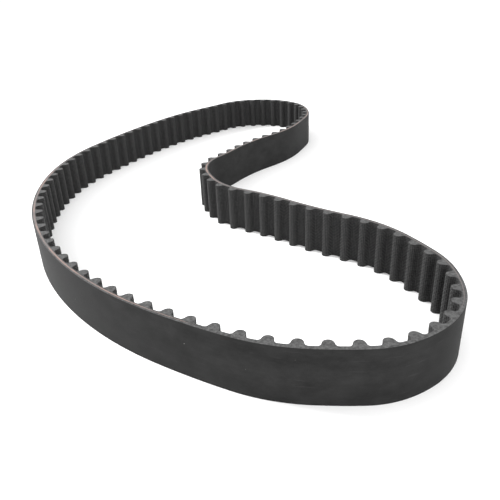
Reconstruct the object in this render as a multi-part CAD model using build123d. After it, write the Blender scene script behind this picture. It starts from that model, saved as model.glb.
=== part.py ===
from build123d import *
from math import atan2, cos, floor, radians, sin, sqrt
import os

# A timing belt standing on one cut edge, lying relaxed in a loose kidney-shaped loop.
# It is a bonded composite: smooth rubber backing, glass cords wound side by side on the
# pitch line, moulded rubber teeth, and a woven facing over the teeth.
# Lengths are in mm and angles in degrees. The width runs along Z.

# Belt size
TEETH = 99
PITCH = 9.525
WIDTH = 22.0

# Pitches from the route's first point to the middle of the first tooth
FIRST_TOOTH = 0.1

# Tooth shape: a round tip, straight flanks and round roots
TOOTH_HEIGHT = 3.4
TIP_RADIUS = 2.0
ROOT_RADIUS = 1.3
FLANK_ANGLE = 15.0

# Layers through the belt's thickness
BACK_COVER = 0.65
CORD_DIAMETER = 0.9
CORD_GAP = 0.2
CORD_COVER = 0.05
FACING_THICKNESS = 0.2

# Route of the pitch line, seen from above and counter-clockwise, with the teeth on its left.
# Only its shape counts: it is scaled until exactly TEETH teeth fit around it.
ROUTE = [
    (-66.5, -101.0), (-15.5, -152.5), (36.5, -176.0), (66.5, -174.5), (85.0, -160.5),
    (93.0, -132.0), (84.0, -103.5), (37.0, -57.5), (-0.5, -22.0), (-5.5, 1.5),
    (10.5, 32.0), (57.0, 92.0), (67.5, 125.0), (58.0, 162.0), (42.5, 174.0),
    (18.0, 176.5), (-15.5, 153.0), (-67.0, 86.0), (-94.0, 19.5), (-92.0, -40.5),
]

cord_radius = CORD_DIAMETER / 2
back_depth = cord_radius + BACK_COVER
land_height = cord_radius + CORD_COVER + FACING_THICKNESS
tip_height = land_height + TOOTH_HEIGHT
cord_pitches = floor(WIDTH / (CORD_DIAMETER + CORD_GAP))
cord_spacing = WIDTH / cord_pitches


# --- Pitch line: a closed chain of tangent arcs, two between each pair of route points ---

def unit(vector):
    return vector / vector.length


def route_tangents(points):
    """Direction at each point of the circle through it and its two neighbours."""
    tangents = []
    for i, point in enumerate(points):
        before = point - points[i - 1]
        after = points[(i + 1) % len(points)] - point
        tangents.append(unit(before / before.length**2 + after / after.length**2))
    return tangents


def arc(start, end, tangent):
    """The arc from start to end that leaves along tangent: (start, heading, curvature, length)."""
    chord = end - start
    half_turn = atan2(tangent.cross(chord).Z, tangent.dot(chord))
    curvature = 2 * sin(half_turn) / chord.length
    return start, atan2(tangent.Y, tangent.X), curvature, 2 * half_turn / curvature


def pitch_line_arcs(points):
    arcs = []
    tangents = route_tangents(points)
    for i, start in enumerate(points):
        end = points[(i + 1) % len(points)]
        leave = tangents[i]
        arrive = tangents[(i + 1) % len(points)]
        span = end - start
        both = leave + arrive
        bend = 2 * (1 - leave.dot(arrive))
        reach = (sqrt(span.dot(both) ** 2 + bend * span.dot(span)) - span.dot(both)) / bend
        joint = (start + end) / 2 + (leave - arrive) * (reach / 2)
        arcs.append(arc(start, joint, leave))
        second = unit(end - joint)
        arcs.append(arc(joint, end, second * (2 * second.dot(arrive)) - arrive))
    return arcs


def scaled_route():
    points = [Vector(x, y) for x, y in ROUTE]
    drawn_length = sum(length for *_, length in pitch_line_arcs(points))
    return [point * (TEETH * PITCH / drawn_length) for point in points]


PITCH_LINE = pitch_line_arcs(scaled_route())


def on_arc(start, heading, curvature, along, height):
    """The point at a distance along an arc and a height above it, towards the teeth."""
    turned = heading + curvature * along
    x = start.X + (sin(turned) - sin(heading)) / curvature - height * sin(turned)
    y = start.Y - (cos(turned) - cos(heading)) / curvature + height * cos(turned)
    return Vector(x, y)


def arc_at(along):
    """The pitch-line arc at a distance around the belt, and the distance left within it."""
    along %= TEETH * PITCH
    for start, heading, curvature, length in PITCH_LINE:
        if along <= length:
            return start, heading, curvature, along
        along -= length
    return start, heading, curvature, along + length


def at(along, height):
    """The point at a distance around the belt and a height above the pitch line."""
    return on_arc(*arc_at(along), height)


def parallel_wire(height):
    """The closed line that follows the pitch line at a constant height above it."""
    edges = []
    for start, heading, curvature, length in PITCH_LINE:
        points = [on_arc(start, heading, curvature, length * t, height) for t in (0, 0.5, 1)]
        edges.append(ThreePointArc(*points))
    return Wire(edges)


# --- Tooth side ---

def half_tooth(inset):
    """Points of a tooth's right half, tip to foot, inset from its surface: (side, height)."""
    tip_centre = tip_height - TIP_RADIUS
    root_centre = land_height + ROOT_RADIUS
    angle = radians(FLANK_ANGLE)
    rise = tip_centre - root_centre
    half_base = (TIP_RADIUS + ROOT_RADIUS + rise * sin(angle)) / cos(angle)
    tip = TIP_RADIUS - inset
    root = ROOT_RADIUS + inset
    mid_root = radians(FLANK_ANGLE - 90) / 2
    return [
        (0, tip_centre + tip),
        (tip * cos(angle), tip_centre + tip * sin(angle)),
        (half_base - root * cos(angle), root_centre - root * sin(angle)),
        (half_base - root * cos(mid_root), root_centre + root * sin(mid_root)),
        (half_base, root_centre - root),
    ]


def tooth_points(number, inset):
    """All points of one tooth, left foot to right foot. The tooth keeps its width in a bend."""
    centre = (number + FIRST_TOOTH) * PITCH
    curvature = arc_at(centre)[2]
    right = half_tooth(inset)
    left = [(-side, height) for side, height in right[:0:-1]]
    return [at(centre + side / (1 - curvature * height), height) for side, height in left + right]


def toothed_wire(inset):
    """The closed line around the tooth side, inset from the facing's surface."""
    teeth = [tooth_points(number, inset) for number in range(TEETH)]
    edges = []
    for number, (a, b, c, d, e, f, g, h, i) in enumerate(teeth):
        next_foot = teeth[(number + 1) % TEETH][0]
        mid_land = at((number + FIRST_TOOTH + 0.5) * PITCH, land_height - inset)
        edges += [ThreePointArc(a, b, c), Line(c, d), ThreePointArc(d, e, f)]
        edges += [Line(f, g), ThreePointArc(g, h, i), ThreePointArc(i, mid_land, next_foot)]
    return Wire(edges)


# --- Layers ---

def layer(outer, inner):
    return extrude(Face(outer, [inner]), WIDTH)


def round_cord():
    """A closed round cord on the pitch line, with its middle at Z 0 and its seam along its top."""
    start, heading, *_ = PITCH_LINE[0]
    across = Plane(start, x_dir=(0, 0, 1), z_dir=(cos(heading), sin(heading), 0))
    return sweep(across * Circle(cord_radius), parallel_wire(0))


def cords():
    """Cords one spacing apart. The belt is cut through the middle of the two outer ones."""
    whole = round_cord()
    bottom = split(whole, Plane.XY, Keep.TOP)
    top = Pos(0, 0, WIDTH) * mirror(bottom, Plane.XY)
    inner = [Pos(0, 0, cord_spacing * i) * whole for i in range(1, cord_pitches)]
    return [bottom, *inner, top]


all_cords = cords()
pitch_wire = parallel_wire(0)
facing_wire = toothed_wire(FACING_THICKNESS)
back_wire = parallel_wire(-back_depth)

nodes = {
    "backing": layer(back_wire, pitch_wire) - all_cords,
    "tooth_rubber": layer(pitch_wire, facing_wire) - all_cords,
    "tooth_facing": layer(facing_wire, toothed_wire(0)),
    "tension_cord_s": Compound(children=all_cords[0::2]),
    "tension_cord_z": Compound(children=all_cords[1::2]),
}

# The origin is the middle of the cut edge that the belt stands on.
middle = back_wire.bounding_box().center()
os.makedirs("parts", exist_ok=True)
for name, shape in nodes.items():
    export_step(Pos(-middle.X, -middle.Y, 0) * shape, f"parts/{name}.step")
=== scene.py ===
from math import atan2, cos, pi, radians, sin, sqrt

import bmesh
import bpy
import numpy as np
from mathutils import Matrix, Vector


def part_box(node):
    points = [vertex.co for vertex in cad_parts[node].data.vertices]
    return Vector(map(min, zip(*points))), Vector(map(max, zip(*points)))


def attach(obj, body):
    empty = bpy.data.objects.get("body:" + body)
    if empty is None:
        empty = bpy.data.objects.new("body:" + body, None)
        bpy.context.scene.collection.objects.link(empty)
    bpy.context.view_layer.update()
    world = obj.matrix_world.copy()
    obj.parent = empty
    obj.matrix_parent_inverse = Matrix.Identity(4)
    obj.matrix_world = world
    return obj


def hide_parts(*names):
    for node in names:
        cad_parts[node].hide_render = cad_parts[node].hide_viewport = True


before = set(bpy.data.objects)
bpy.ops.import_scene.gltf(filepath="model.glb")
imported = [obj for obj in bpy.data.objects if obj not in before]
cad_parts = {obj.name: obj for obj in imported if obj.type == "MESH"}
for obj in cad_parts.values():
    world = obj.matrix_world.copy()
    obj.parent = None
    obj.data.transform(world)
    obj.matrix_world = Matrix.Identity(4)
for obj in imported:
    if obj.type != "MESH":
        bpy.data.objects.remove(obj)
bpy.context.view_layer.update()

# The belt stands on a cut edge. Each layer starts as a short straight length, with X along the
# belt, Y through its thickness towards the teeth (0 at the cords) and Z across its width. It is
# then repeated to the belt's full length and laid round its route.

MM = 0.001

# Distance within which two places are the same
TOUCH = 0.01 * MM

# Belt sizes. They are the same as the CAD's.
TEETH = 99
PITCH = 9.525 * MM
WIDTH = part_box("backing")[1].z
LENGTH = TEETH * PITCH

# Where the first tooth stands, in pitches from the start of the route
FIRST_TOOTH = 0.1

TOOTH_HEIGHT = 3.4 * MM
TIP_RADIUS = 2.0 * MM
ROOT_RADIUS = 1.3 * MM
FLANK_ANGLE = radians(15)

CORD_RADIUS = 0.45 * MM
CORD_SPACING = 1.1 * MM
BACK_DEPTH = 1.1 * MM
FACING_THICKNESS = 0.2 * MM
LAND_HEIGHT = 0.7 * MM

# Route of the pitch line in millimetres, from above and counter-clockwise
ROUTE = [
    (-66.5, -101.0), (-15.5, -152.5), (36.5, -176.0), (66.5, -174.5), (85.0, -160.5),
    (93.0, -132.0), (84.0, -103.5), (37.0, -57.5), (-0.5, -22.0), (-5.5, 1.5),
    (10.5, 32.0), (57.0, 92.0), (67.5, 125.0), (58.0, 162.0), (42.5, 174.0),
    (18.0, 176.5), (-15.5, 153.0), (-67.0, 86.0), (-94.0, 19.5), (-92.0, -40.5),
]

# Each cord climbs two spacings per turn
CLIMB = 2 * CORD_SPACING

# Where, as a share of the way round, the cut edges slice the S cord through its middle. They
# slice the Z cord half a turn further on.
S_CORD_CUT = 0.9

# How far a cord's sliced face lies below the cut edge of the rubber
CORD_RECESS = 0.02 * MM

# A cord's seat in the rubber at a cut edge: the steps in a quarter of it, how far it reaches
# from the cord's middle, and its least opening, as a share of the full seat, squared
SEAT_STEPS = 4
SEAT_REACH = 1.01 * CORD_RADIUS
LEAST_OPENING = 0.002

# Bevel profile that gives a quarter-round hollow
CONCAVE = 0.086

# How finely the pieces are drawn
TIP_STEPS, ROOT_STEPS = 6, 5
BACK_STEPS_PER_PITCH = 6
CORD_SIDES = 12
CORD_STEP = 2.4 * MM
FACING_EDGE_ROW = 0.4 * MM
SMOOTH_BELOW = radians(35)

# Corners that grinding and cutting leave
BROKEN_CORNER = 0.12 * MM
CLOTH_CORNER = 0.04 * MM

# Spacing of the facing's threads. A cord's strands are drawn as waves, two strands to a wave:
# how many go round it, and their length along it.
THREAD_SPACING = 0.8 * MM
STRAND_WAVES = 3
STRAND_WAVE_LENGTH = 2.2 * MM

# Where the rubber that the knife drags over a sliced cord ends, in turns of the cord from the
# middle of the slice
DRAG_END = -0.03

# Greys of rubber and cloth, the two tans of the cord, and the colours of marks on them
BACK_DARK, BACK_LIGHT = 0.009, 0.025
# The cut rubber's paler grey is painted light for the upward-facing cut edges.
CUT_DARK, CUT_LIGHT = 0.035, 0.11
# The cloth's dark grey is painted shade in the weave's hollows, and its light grey is a painted
# highlight on the thread tops.
CLOTH_HOLLOW_SHADE, CLOTH_TOP_HIGHLIGHT = 0.003, 0.055
CORD_DARK, CORD_LIGHT = (0.11, 0.07, 0.06), (0.28, 0.195, 0.17)
SCUFF = (0.1, 0.095, 0.1, 1)
DUST = (0.3, 0.29, 0.28, 1)
SMEAR = (0.09, 0.085, 0.085, 1)

# Camera, in metres, radians and millimetres of film
CAMERA_PLACE = (0.01926, -0.30996, 0.12400)
CAMERA_DOWN = radians(27.03)
CAMERA_ROLL = radians(2.39)
CAMERA_LENS = 39.73
CAMERA_FILM = 36

# Lights, all turned to the middle of the belt: name, place, diameter and power
ROOM_STRENGTH = 1.12
LIGHTS = [
    ("overhead softbox", (0.1, -0.1, 0.9), 0.8, 1),
    ("left softbox", (-0.9, 0.3, 0.7), 0.4, 17),
    ("front softbox", (0.3, -1.0, 0.5), 1.0, 5.5),
]


# --- The route: two tangent arcs between each pair of points ---

def direction(before, after):
    """Direction at a point of the circle through it and its two neighbours."""
    return (before / before.length_squared + after / after.length_squared).normalized()


def arc(start, end, tangent):
    """The arc that leaves a point along a tangent: x, y, heading, curvature and length."""
    chord = end - start
    half_turn = atan2(tangent.x * chord.y - tangent.y * chord.x, tangent.dot(chord))
    curvature = 2 * sin(half_turn) / chord.length
    return start.x, start.y, atan2(tangent.y, tangent.x), curvature, 2 * half_turn / curvature


def route_arcs(points):
    spans = [end - start for start, end in zip(points, points[1:] + points[:1])]
    ways = [direction(before, after) for before, after in zip(spans[-1:] + spans[:-1], spans)]
    arcs = []
    for i, span in enumerate(spans):
        start, end = points[i], points[(i + 1) % len(points)]
        leave, arrive = ways[i], ways[(i + 1) % len(points)]
        both = leave + arrive
        bend = 2 * (1 - leave.dot(arrive))
        reach = (sqrt(span.dot(both) ** 2 + bend * span.dot(span)) - span.dot(both)) / bend
        joint = (start + end) / 2 + (leave - arrive) * (reach / 2)
        second = (end - joint).normalized()
        arcs.append(arc(start, joint, leave))
        arcs.append(arc(joint, end, second * (2 * second.dot(arrive)) - arrive))
    return np.array(arcs)


def drawn_route():
    """The route's arcs, scaled so that they add up to the belt's length."""
    points = [Vector(point) for point in ROUTE]
    scale = LENGTH / route_arcs(points)[:, 4].sum()
    return route_arcs([point * scale for point in points])


ARCS = drawn_route()
ARC_ENDS = np.cumsum(ARCS[:, 4])


def arc_number(along):
    return np.minimum(np.searchsorted(ARC_ENDS, along % LENGTH, side="right"), len(ARCS) - 1)


def on_route(along, height):
    """Points at distances around the belt and heights above the pitch line."""
    number = arc_number(along)
    x, y, heading, curvature, length = ARCS[number].T
    turned = heading + curvature * (along % LENGTH - ARC_ENDS[number] + length)
    return (
        x + (np.sin(turned) - np.sin(heading)) / curvature - height * np.sin(turned),
        y - (np.cos(turned) - np.cos(heading)) / curvature + height * np.cos(turned),
    )


def middle_of_back():
    """The middle of the smooth back's outline, which is the frame's origin."""
    along = np.linspace(0, LENGTH, 20000)
    x, y = on_route(along, np.full(len(along), -BACK_DEPTH))
    return (x.min() + x.max()) / 2, (y.min() + y.max()) / 2


MIDDLE_X, MIDDLE_Y = middle_of_back()

# Half a tooth's width where its root meets the land
FLANK_RISE = TOOTH_HEIGHT - TIP_RADIUS - ROOT_RADIUS
FOOT = (TIP_RADIUS + ROOT_RADIUS + FLANK_RISE * sin(FLANK_ANGLE)) / cos(FLANK_ANGLE)


def lay_round_route(piece):
    """Bends a straight piece round the route. Where the belt bends, the teeth keep their width
    and the lands between them take up the difference."""
    co = vertex_places(piece)
    along = co[:, 0] + FIRST_TOOTH * PITCH
    tooth = np.round(co[:, 0] / PITCH) * PITCH
    side = co[:, 0] - tooth
    height = co[:, 1]
    curvature = ARCS[arc_number(tooth + FIRST_TOOTH * PITCH), 3]
    in_tooth = np.clip((PITCH / 2 - np.abs(side)) / (PITCH / 2 - FOOT), 0, 1)
    along += side * in_tooth * (1 / (1 - curvature * np.maximum(height, 0)) - 1)
    place_on_route(piece, along, height, co[:, 2])
    piece.data.update()


def place_on_route(piece, along, height, z):
    x, y = on_route(along, height)
    piece.data.vertices.foreach_set("co", np.c_[x - MIDDLE_X, y - MIDDLE_Y, z].ravel())


def vertex_places(piece):
    co = np.zeros(len(piece.data.vertices) * 3)
    piece.data.vertices.foreach_get("co", co)
    return co.reshape(-1, 3)


# --- Modelling by hand ---

def start_piece(name, add, **settings):
    bpy.ops.object.select_all(action="DESELECT")
    add(**settings)
    bpy.ops.object.transform_apply(location=True, rotation=True, scale=True)
    piece = bpy.context.object
    piece.name = name
    piece.data.name = name
    bpy.ops.object.mode_set(mode="EDIT")
    bpy.ops.mesh.select_mode(type="VERT")
    return piece


def pick(piece, test, kind="VERT"):
    """Selects the vertices, edges or faces whose middle passes the test."""
    bpy.ops.mesh.select_all(action="DESELECT")
    bpy.ops.mesh.select_mode(type=kind)
    mesh = bmesh.from_edit_mesh(piece.data)
    if kind == "VERT":
        for vertex in mesh.verts:
            vertex.select_set(test(vertex.co))
    else:
        for part in mesh.edges if kind == "EDGE" else mesh.faces:
            middle = sum((vertex.co for vertex in part.verts), Vector()) / len(part.verts)
            part.select_set(test(middle))
    mesh.select_flush_mode()
    bmesh.update_edit_mesh(piece.data)


def extrude(x=0, y=0, z=0):
    bpy.ops.mesh.extrude_region_move(TRANSFORM_OT_translate={"value": (x, y, z)})


def apply(piece, kind, **settings):
    modifier = piece.modifiers.new(kind.title(), kind)
    for name, value in settings.items():
        setattr(modifier, name, value)
    bpy.ops.object.modifier_apply(modifier=modifier.name)


def repeat(piece, count, step, map_step):
    """Copies a piece along X and welds the copies. Its UV map runs on from copy to copy."""
    apply(
        piece, "ARRAY", count=count, use_relative_offset=False, use_constant_offset=True,
        constant_offset_displace=(step, 0, 0), use_merge_vertices=True, merge_threshold=TOUCH,
        offset_u=map_step,
    )


def weld(outwards):
    """Welds what touches, such as the last tooth to the first."""
    bpy.ops.object.mode_set(mode="EDIT")
    bpy.ops.mesh.select_all(action="SELECT")
    bpy.ops.mesh.remove_doubles(threshold=TOUCH)
    bpy.ops.mesh.delete_loose(use_verts=True, use_edges=True, use_faces=False)
    bpy.ops.mesh.select_all(action="SELECT")
    if outwards:
        bpy.ops.mesh.normals_make_consistent(inside=False)
    bpy.ops.object.mode_set(mode="OBJECT")


def close_ends():
    bpy.ops.object.mode_set(mode="EDIT")
    bpy.ops.mesh.select_all(action="SELECT")
    bpy.ops.mesh.fill_holes(sides=0)
    bpy.ops.object.mode_set(mode="OBJECT")


def paint_picked(number):
    bpy.context.object.active_material_index = number
    bpy.ops.object.material_slot_assign()


def give_materials(piece, *materials):
    for material in materials:
        piece.data.materials.append(material)


def finish_piece(piece, node):
    bpy.ops.object.shade_smooth_by_angle(angle=SMOOTH_BELOW)
    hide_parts(node)
    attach(piece, "root")


def lay_map(piece, over_teeth):
    """A UV map in metres: along the belt, following the surface over the teeth or straight,
    and across its width. Returns the length of the surface."""
    co = vertex_places(piece)
    row = co[np.abs(co[:, 2] - co[:, 2].max()) < TOUCH]
    row = row[np.argsort(row[:, 0])]
    travelled = np.r_[0, np.cumsum(np.hypot(np.diff(row[:, 0]), np.diff(row[:, 1])))]
    uv = piece.data.uv_layers.new(name="surface")
    corners = np.zeros(len(piece.data.loops), int)
    piece.data.loops.foreach_get("vertex_index", corners)
    x = co[corners, 0]
    u = np.interp(x, row[:, 0], travelled) if over_teeth else x
    uv.data.foreach_set("uv", np.c_[u, co[corners, 2]].ravel())
    return travelled[-1]


def open_cord_seats(piece):
    """Widens or closes the groove at each cut edge as the cord beside it comes and goes."""
    co = vertex_places(piece)
    edge = np.where(co[:, 2] > WIDTH / 2, WIDTH, 0)
    from_edge = co[:, 2] - edge
    in_seat = (np.abs(co[:, 1]) < SEAT_REACH) & (np.abs(from_edge) < SEAT_REACH)
    way_round = (co[:, 0] / LENGTH + FIRST_TOOTH / TEETH - S_CORD_CUT) * 2
    climbed = (way_round - np.round(way_round)) * CLIMB / 2
    opening = np.sqrt(np.maximum(1 - (climbed / CORD_RADIUS) ** 2, LEAST_OPENING))
    size = np.where(in_seat, opening, 1)
    co[:, 1] *= size
    co[:, 2] = edge + from_edge * size
    piece.data.vertices.foreach_set("co", co.ravel())


# --- The pieces ---

def draw_pitch(inset):
    """In edit mode, turns a single vertex into one pitch of the tooth side's outline."""
    tip_centre = LAND_HEIGHT + TOOTH_HEIGHT - TIP_RADIUS
    root_centre = LAND_HEIGHT + ROOT_RADIUS
    tip = TIP_RADIUS - inset
    root = ROOT_RADIUS + inset
    turn = pi / 2 - FLANK_ANGLE
    top = Vector((tip * cos(FLANK_ANGLE), tip_centre + tip * sin(FLANK_ANGLE)))
    bottom = Vector((FOOT - root * cos(FLANK_ANGLE), root_centre - root * sin(FLANK_ANGLE)))
    bpy.ops.mesh.merge(type="CENTER")
    bpy.ops.transform.translate(value=(0, tip_centre + tip, 0))
    bpy.ops.mesh.spin(steps=TIP_STEPS, angle=turn, center=(0, tip_centre, 0), axis=(0, 0, 1))
    extrude(x=bottom.x - top.x, y=bottom.y - top.y)
    bpy.ops.mesh.spin(steps=ROOT_STEPS, angle=-turn, center=(FOOT, root_centre, 0), axis=(0, 0, 1))
    extrude(x=PITCH / 2 - FOOT)
    bpy.ops.object.mode_set(mode="OBJECT")
    apply(bpy.context.object, "MIRROR", merge_threshold=TOUCH)
    bpy.ops.object.mode_set(mode="EDIT")
    bpy.ops.mesh.select_all(action="SELECT")


def quarter_turn(start):
    """The moves that walk a quarter of the cord's seat, from an angle on, as (y, z) pairs."""
    angles = [start + pi / 2 * i / SEAT_STEPS for i in range(SEAT_STEPS + 1)]
    points = [(CORD_RADIUS * cos(angle), CORD_RADIUS * sin(angle)) for angle in angles]
    return [(b[0] - a[0], b[1] - a[1]) for a, b in zip(points, points[1:])]


def make_facing(cloth, cut_edge):
    """The woven nylon over teeth and lands, cut through at both edges."""
    piece = start_piece("woven_facing", bpy.ops.mesh.primitive_plane_add, size=MM)
    draw_pitch(0)
    for height in (FACING_EDGE_ROW, WIDTH - 2 * FACING_EDGE_ROW, FACING_EDGE_ROW):
        extrude(z=height)
    bpy.ops.mesh.select_all(action="SELECT")
    bpy.ops.mesh.normals_make_consistent(inside=False)
    bpy.ops.object.mode_set(mode="OBJECT")
    if piece.data.polygons[0].normal.y < 0:
        piece.data.flip_normals()
    cloth_step = lay_map(piece, over_teeth=True)
    repeat(piece, TEETH, PITCH, cloth_step)
    lay_round_route(piece)
    weld(outwards=False)
    give_materials(piece, cloth, cut_edge)
    apply(piece, "SOLIDIFY", thickness=FACING_THICKNESS, offset=-1, material_offset_rim=1)
    weld(outwards=True)
    apply(
        piece, "BEVEL", width=CLOTH_CORNER, segments=2, limit_method="ANGLE",
        angle_limit=radians(60),
    )
    finish_piece(piece, "tooth_facing")


def make_tooth_rubber(rubber):
    """Moulded teeth on their thin shear layer, with a groove for the cord at each cut edge."""
    piece = start_piece("moulded_teeth", bpy.ops.mesh.primitive_plane_add, size=MM)
    draw_pitch(FACING_THICKNESS)
    extrude(z=WIDTH)
    extrude()
    bpy.ops.transform.resize(value=(1, 0, 1), center_override=(0, CORD_RADIUS, 0))
    for y, z in quarter_turn(0):
        extrude(y=y, z=-z)
    extrude(z=2 * CORD_RADIUS - WIDTH)
    for y, z in quarter_turn(pi / 2):
        extrude(y=-y, z=z)
    pick(piece, lambda co: abs(co.z) < TOUCH)
    bpy.ops.mesh.bridge_edge_loops()
    bpy.ops.object.mode_set(mode="OBJECT")
    lay_map(piece, over_teeth=False)
    repeat(piece, TEETH, PITCH, PITCH)
    open_cord_seats(piece)
    lay_round_route(piece)
    weld(outwards=True)
    give_materials(piece, rubber)
    finish_piece(piece, "tooth_rubber")


def near_cut(co):
    """Whether a place is within a cord's radius of a cut edge."""
    return abs(co.z - WIDTH / 2) > WIDTH / 2 - CORD_RADIUS


def make_backing(ground, cut_edge):
    """The smooth back, ground to thickness, its corners just broken by the grinding."""
    step = PITCH / BACK_STEPS_PER_PITCH
    middle = (step - PITCH) / 2
    piece = start_piece(
        "ground_backing", bpy.ops.mesh.primitive_cube_add, size=1,
        location=(middle, -BACK_DEPTH / 2, WIDTH / 2), scale=(step, BACK_DEPTH, WIDTH),
    )

    def on_back(co):
        return co.y < -0.9 * BACK_DEPTH

    def corner(co):
        return near_cut(co) and abs(co.x - middle) < 0.1 * step

    pick(piece, lambda co: abs(co.x - middle) > step / 4, "FACE")
    bpy.ops.mesh.delete(type="FACE")
    pick(piece, lambda co: corner(co) and on_back(co), "EDGE")
    bpy.ops.mesh.bevel(offset=BROKEN_CORNER, segments=3, profile=0.5, affect="EDGES")
    pick(piece, lambda co: corner(co) and co.y > -0.1 * BACK_DEPTH, "EDGE")
    bpy.ops.mesh.bevel(offset=CORD_RADIUS, segments=SEAT_STEPS, profile=CONCAVE, affect="EDGES")
    give_materials(piece, ground, cut_edge)
    pick(piece, lambda co: near_cut(co) and not on_back(co), "FACE")
    paint_picked(1)
    bpy.ops.object.mode_set(mode="OBJECT")
    lay_map(piece, over_teeth=False)
    repeat(piece, BACK_STEPS_PER_PITCH * TEETH, step, step)
    open_cord_seats(piece)
    lay_round_route(piece)
    weld(outwards=True)
    finish_piece(piece, "backing")


def make_cord(name, node, first_cut, thread):
    """One long cord wound round the belt from below one cut edge to above the other, and sliced
    flat where it crosses them."""
    distance = (WIDTH + 2 * CORD_RADIUS) / CLIMB * LENGTH
    steps = round(distance / CORD_STEP)
    step = distance / steps
    piece = start_piece(
        name, bpy.ops.mesh.primitive_cylinder_add, vertices=CORD_SIDES, radius=CORD_RADIUS,
        depth=step, end_fill_type="NOTHING", rotation=(0, pi / 2, 0), location=(step / 2, 0, 0),
    )
    bpy.ops.object.mode_set(mode="OBJECT")
    lay_thread_map(piece)
    repeat(piece, steps, step, step)
    close_ends()
    co = vertex_places(piece)
    along = co[:, 0] + (first_cut - CORD_RADIUS / CLIMB) * LENGTH
    height, z = slice_cord(co)
    place_on_route(piece, along, height, z)
    weld(outwards=True)
    give_materials(piece, thread)
    finish_piece(piece, node)


def slice_cord(co):
    """Makes a straight cord climb across the width, cut flat where it comes past an edge."""
    height = co[:, 1]
    middle = co[:, 0] / LENGTH * CLIMB - CORD_RADIUS
    z = co[:, 2] + middle
    for cut, outward in ((CORD_RECESS, -1), (WIDTH - CORD_RECESS, 1)):
        past = (z - cut) * outward > 0
        half_width = np.sqrt(np.maximum(CORD_RADIUS ** 2 - (middle - cut) ** 2, 0))
        height = np.where(past, np.clip(height, -half_width, half_width), height)
        z = np.where(past, cut, z)
    return height, z


def lay_thread_map(piece):
    """A UV map of a tube: metres along it, and turns around it."""
    uv = piece.data.uv_layers.active
    uv.name = "surface"
    for face in piece.data.polygons:
        middle = atan2(face.center.z, face.center.y) / (2 * pi)
        for corner in face.loop_indices:
            place = piece.data.vertices[piece.data.loops[corner].vertex_index].co
            turn = atan2(place.z, place.y) / (2 * pi)
            uv.data[corner].uv = (place.x, turn - round(turn - middle))


# --- Materials ---

def new_material(name):
    material = bpy.data.materials.new(name)
    material.use_nodes = True
    return material, material.node_tree.nodes["Principled BSDF"]


def node(material, kind, inputs=None, **settings):
    """Adds a node. An input is a value or another node's output."""
    made = material.node_tree.nodes.new("ShaderNode" + kind)
    for name, value in settings.items():
        setattr(made, name, value)
    for name, value in (inputs or {}).items():
        if isinstance(value, bpy.types.NodeSocket):
            material.node_tree.links.new(value, made.inputs[name])
        else:
            made.inputs[name].default_value = value
    return made


def join(material, output, socket):
    material.node_tree.links.new(output, socket)


def ramp(material, factor, *stops):
    """A colour ramp from (position, grey or colour) stops."""
    made = node(material, "ValToRGB", {"Fac": factor})
    elements = made.color_ramp.elements
    while len(elements) < len(stops):
        elements.new(0.5)
    for element, (position, colour) in zip(elements, stops):
        element.position = position
        element.color = (*colour, 1) if isinstance(colour, tuple) else (colour, colour, colour, 1)
    return made.outputs["Color"]


def noise(material, place, scale, detail=4.0, roughness=0.5):
    inputs = {"Vector": place, "Scale": scale, "Detail": detail, "Roughness": roughness}
    return node(material, "TexNoise", inputs).outputs["Fac"]


def stretched(material, place, x, y):
    return node(material, "Mapping", {"Vector": place, "Scale": (x, y, 1)}).outputs["Vector"]


def blend(material, kind, factor, a, b):
    made = node(material, "Mix", data_type="RGBA", blend_type=kind)
    for socket, value in zip((made.inputs[0], made.inputs[6], made.inputs[7]), (factor, a, b)):
        if isinstance(value, bpy.types.NodeSocket):
            join(material, value, socket)
        else:
            socket.default_value = value
    return made.outputs[2]


def darken(material, amount, colour, pattern, dark, light):
    """Multiplies a colour by a pattern. Dark is a (position, grey) stop, and light a position."""
    return blend(material, "MULTIPLY", amount, colour, ramp(material, pattern, dark, (light, 1.0)))


def maths(material, operation, a, b=0.0):
    return node(material, "Math", {0: a, 1: b}, operation=operation).outputs[0]


def bump(material, height, distance, strength, under=None):
    inputs = {"Height": height, "Distance": distance, "Strength": strength}
    if under is not None:
        inputs["Normal"] = under
    return node(material, "Bump", inputs).outputs["Normal"]


def ground_rubber():
    """The back: fine grinding lines along the belt, a dull bloom in patches, light scuffs."""
    material, shader = new_material("ground back rubber")
    surface = node(material, "UVMap", uv_map="surface").outputs["UV"]
    grain = noise(material, surface, 2600, detail=3)
    lines = noise(material, stretched(material, surface, 90, 3200), 1, detail=3, roughness=0.6)
    patches = noise(material, stretched(material, surface, 90, 140), 1, detail=5, roughness=0.65)
    scuffs = noise(material, stretched(material, surface, 45, 700), 1, detail=4, roughness=0.7)
    dust = noise(material, surface, 700, detail=1)
    colour = ramp(material, patches, (0.3, BACK_DARK), (0.7, BACK_LIGHT))
    colour = darken(material, 0.5, colour, grain, (0.3, 0.75), 0.7)
    colour = darken(material, 0.35, colour, lines, (0.3, 0.7), 0.7)
    marks = ramp(material, scuffs, (0.62, 0.0), (0.78, 1.0))
    colour = blend(material, "MIX", maths(material, "MULTIPLY", marks, 0.22), colour, SCUFF)
    colour = blend(material, "MIX", ramp(material, dust, (0.8, 0.0), (0.83, 0.6)), colour, DUST)
    join(material, colour, shader.inputs["Base Color"])
    join(material, ramp(material, patches, (0.3, 0.62), (0.8, 0.78)), shader.inputs["Roughness"])
    under = bump(material, lines, 0.03 * MM, 0.7)
    join(material, bump(material, grain, 0.04 * MM, 0.8, under), shader.inputs["Normal"])
    shader.inputs["Specular IOR Level"].default_value = 0.14
    return material


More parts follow.
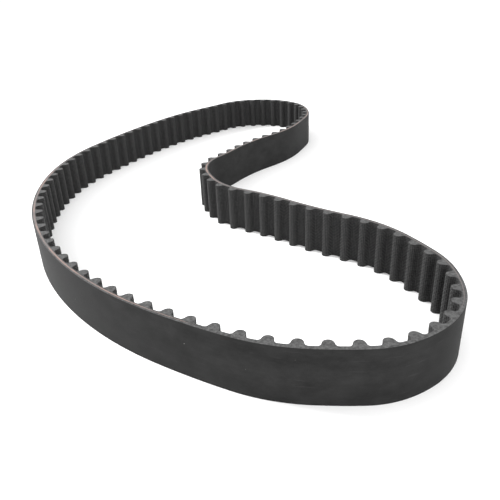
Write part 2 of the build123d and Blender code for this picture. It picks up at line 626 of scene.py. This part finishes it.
def cut_rubber():
    """Rubber as the knife left it: rough, with short drag lines. Its paler grey than the back's is
    painted light for the upward-facing cut edges; the blotches and grain are the cut's own.
    """
    material, shader = new_material("knife-cut rubber")
    place = node(material, "TexCoord").outputs["Object"]
    grain = noise(material, place, 3500, detail=4, roughness=0.6)
    drag = noise(material, stretched(material, place, 500, 1400), 1, detail=3)
    blotches = noise(material, place, 900, detail=4, roughness=0.7)
    colour = ramp(material, blotches, (0.35, CUT_DARK), (0.65, CUT_LIGHT))
    colour = darken(material, 0.6, colour, grain, (0.35, 0.55), 0.65)
    join(material, colour, shader.inputs["Base Color"])
    shader.inputs["Roughness"].default_value = 0.8
    under = bump(material, drag, 0.06 * MM, 0.6)
    join(material, bump(material, grain, 0.08 * MM, 0.8, under), shader.inputs["Normal"])
    shader.inputs["Specular IOR Level"].default_value = 0.3
    return material


def woven_cloth():
    """Plain-weave nylon: threads over and under each other, painted shade in the hollows between
    them, a painted highlight on their tops, lint and dust.
    """
    material, shader = new_material("woven nylon facing")
    surface = node(material, "UVMap", uv_map="surface").outputs["UV"]
    axes = node(material, "SeparateXYZ", {"Vector": surface})
    wobble = maths(material, "MULTIPLY", noise(material, surface, 900, detail=2), 0.9)
    across, length = (thread_wave(material, axes.outputs[axis], wobble) for axis in "XY")
    over = maths(material, "MULTIPLY", across, length)
    warp = maths(material, "ABSOLUTE", across)
    weft = maths(material, "ABSOLUTE", length)
    on_top = maths(material, "GREATER_THAN", over, 0.0)
    weave = node(material, "Mix", {"Factor": on_top, "A": warp, "B": weft}).outputs["Result"]
    fibres = noise(material, stretched(material, surface, 9000, 5000), 1, detail=3, roughness=0.6)
    patches = noise(material, surface, 700, detail=4, roughness=0.7)
    # Painted shade and highlight: darker in the hollows between threads, lighter on the thread
    # tops
    colour = ramp(material, weave, (0.1, CLOTH_HOLLOW_SHADE), (0.9, CLOTH_TOP_HIGHLIGHT))
    colour = darken(material, 0.8, colour, patches, (0.35, 0.45), 0.65)
    colour = darken(material, 0.5, colour, fibres, (0.3, 0.6), 0.7)
    lint = ramp(material, noise(material, surface, 1100, detail=2), (0.79, 0.0), (0.82, 1.0))
    colour = blend(material, "MIX", maths(material, "MULTIPLY", lint, 0.5), colour, DUST)
    join(material, colour, shader.inputs["Base Color"])
    shader.inputs["Roughness"].default_value = 0.6
    shader.inputs["Specular IOR Level"].default_value = 0.16
    shader.inputs["Sheen Weight"].default_value = 0.02
    shader.inputs["Sheen Roughness"].default_value = 0.5
    under = bump(material, fibres, 0.03 * MM, 0.5)
    join(material, bump(material, weave, 0.2 * MM, 1.0, under), shader.inputs["Normal"])
    return material


def thread_wave(material, distance, wobble):
    """A wave that goes up over one thread and down over the next."""
    phase = maths(material, "MULTIPLY", distance, pi / THREAD_SPACING)
    return maths(material, "SINE", maths(material, "ADD", phase, wobble))


def cut_cloth():
    """The cut edge of the facing: dark rubber with pale thread ends."""
    material, shader = new_material("cut facing edge")
    place = node(material, "TexCoord").outputs["Object"]
    ends = node(material, "TexVoronoi", {"Vector": place, "Scale": 3200}).outputs["Distance"]
    colour = ramp(material, ends, (0.15, 0.075), (0.4, 0.02))
    join(material, colour, shader.inputs["Base Color"])
    shader.inputs["Roughness"].default_value = 0.85
    join(material, bump(material, ends, 0.05 * MM, 0.7), shader.inputs["Normal"])
    return material


def glass_thread(name, lay):
    """Twisted glass cord dipped in tan latex. The strands lean one way for S, the other for Z."""
    material, shader = new_material(name)
    surface = node(material, "UVMap", uv_map="surface").outputs["UV"]
    axes = node(material, "SeparateXYZ", {"Vector": surface})
    along = maths(material, "MULTIPLY", axes.outputs["X"], lay * 2 * pi / STRAND_WAVE_LENGTH)
    around = maths(material, "MULTIPLY", axes.outputs["Y"], 2 * pi * STRAND_WAVES)
    wave = maths(material, "SINE", maths(material, "ADD", along, around))
    strands = maths(material, "ABSOLUTE", wave)
    fibres = noise(material, stretched(material, surface, 1200, 9), 1, detail=4, roughness=0.7)
    stains = noise(material, stretched(material, surface, 60, 2), 1, detail=5, roughness=0.7)
    colour = ramp(material, strands, (0.05, CORD_DARK), (0.7, CORD_LIGHT))
    colour = darken(material, 0.5, colour, fibres, (0.3, 0.6), 0.7)
    rubber = maths(material, "ADD", stains, dragged_rubber(material, axes))
    smear = ramp(material, rubber, (0.47, 0.0), (0.57, 1.0))
    colour = blend(material, "MIX", maths(material, "MULTIPLY", smear, 0.85), colour, SMEAR)
    join(material, colour, shader.inputs["Base Color"])
    shader.inputs["Roughness"].default_value = 0.7
    under = bump(material, fibres, 0.03 * MM, 0.5)
    join(material, bump(material, strands, 0.1 * MM, 0.8, under), shader.inputs["Normal"])
    return material


def dragged_rubber(material, axes):
    """0.5 where the knife drew rubber over a sliced cord, up to DRAG_END, and 0 beyond."""
    turns = maths(material, "DIVIDE", axes.outputs["X"], LENGTH)
    first, last = CORD_RADIUS / CLIMB, (WIDTH + CORD_RADIUS) / CLIMB
    near_last = maths(material, "GREATER_THAN", turns, (first + last) / 2)
    further = maths(material, "MULTIPLY", near_last, last - first)
    past = maths(material, "SUBTRACT", turns, maths(material, "ADD", further, first))
    return maths(material, "MULTIPLY", maths(material, "LESS_THAN", past, DRAG_END), 0.5)


# --- Floor, light and camera ---

def make_floor():
    bpy.ops.mesh.primitive_plane_add(size=20)
    floor = bpy.context.object
    floor.name = "floor"
    material, shader = new_material("pale paper sweep")
    place = node(material, "TexCoord").outputs["Object"]
    tone = ramp(material, noise(material, place, 6), (0.3, 0.94), (0.7, 0.96))
    join(material, tone, shader.inputs["Base Color"])
    shader.inputs["Roughness"].default_value = 0.9
    shader.inputs["Specular IOR Level"].default_value = 0.1
    floor.data.materials.append(material)


def make_light(name, place, size, power):
    bpy.ops.object.light_add(type="AREA", location=place)
    light = bpy.context.object
    light.name = name
    light.data.shape = "DISK"
    light.data.size = size
    light.data.energy = power
    light.rotation_euler = (-Vector(place)).to_track_quat("-Z", "Y").to_euler()


def make_world():
    world = bpy.data.worlds.new("white room")
    bpy.context.scene.world = world
    world.use_nodes = True
    background = world.node_tree.nodes["Background"]
    background.inputs["Color"].default_value = (1, 1, 1, 1)
    background.inputs["Strength"].default_value = ROOM_STRENGTH


def make_camera():
    bpy.ops.object.camera_add(location=CAMERA_PLACE)
    camera = bpy.context.object
    turned = Matrix.Rotation(pi / 2 - CAMERA_DOWN, 4, "X") @ Matrix.Rotation(-CAMERA_ROLL, 4, "Z")
    camera.rotation_euler = turned.to_euler()
    camera.data.lens = CAMERA_LENS
    camera.data.sensor_width = CAMERA_FILM
    camera.data.clip_start = 0.01
    bpy.context.scene.camera = camera


knife_cut = cut_rubber()
make_backing(ground_rubber(), knife_cut)
make_tooth_rubber(knife_cut)
make_facing(woven_cloth(), cut_cloth())
make_cord("s_twist_cord", "tension_cord_s", S_CORD_CUT, glass_thread("glass cord S", 1))
make_cord("z_twist_cord", "tension_cord_z", S_CORD_CUT + 0.5, glass_thread("glass cord Z", -1))

make_floor()
make_world()
for light_settings in LIGHTS:
    make_light(*light_settings)
make_camera()
bpy.context.scene.view_settings.view_transform = "Standard"
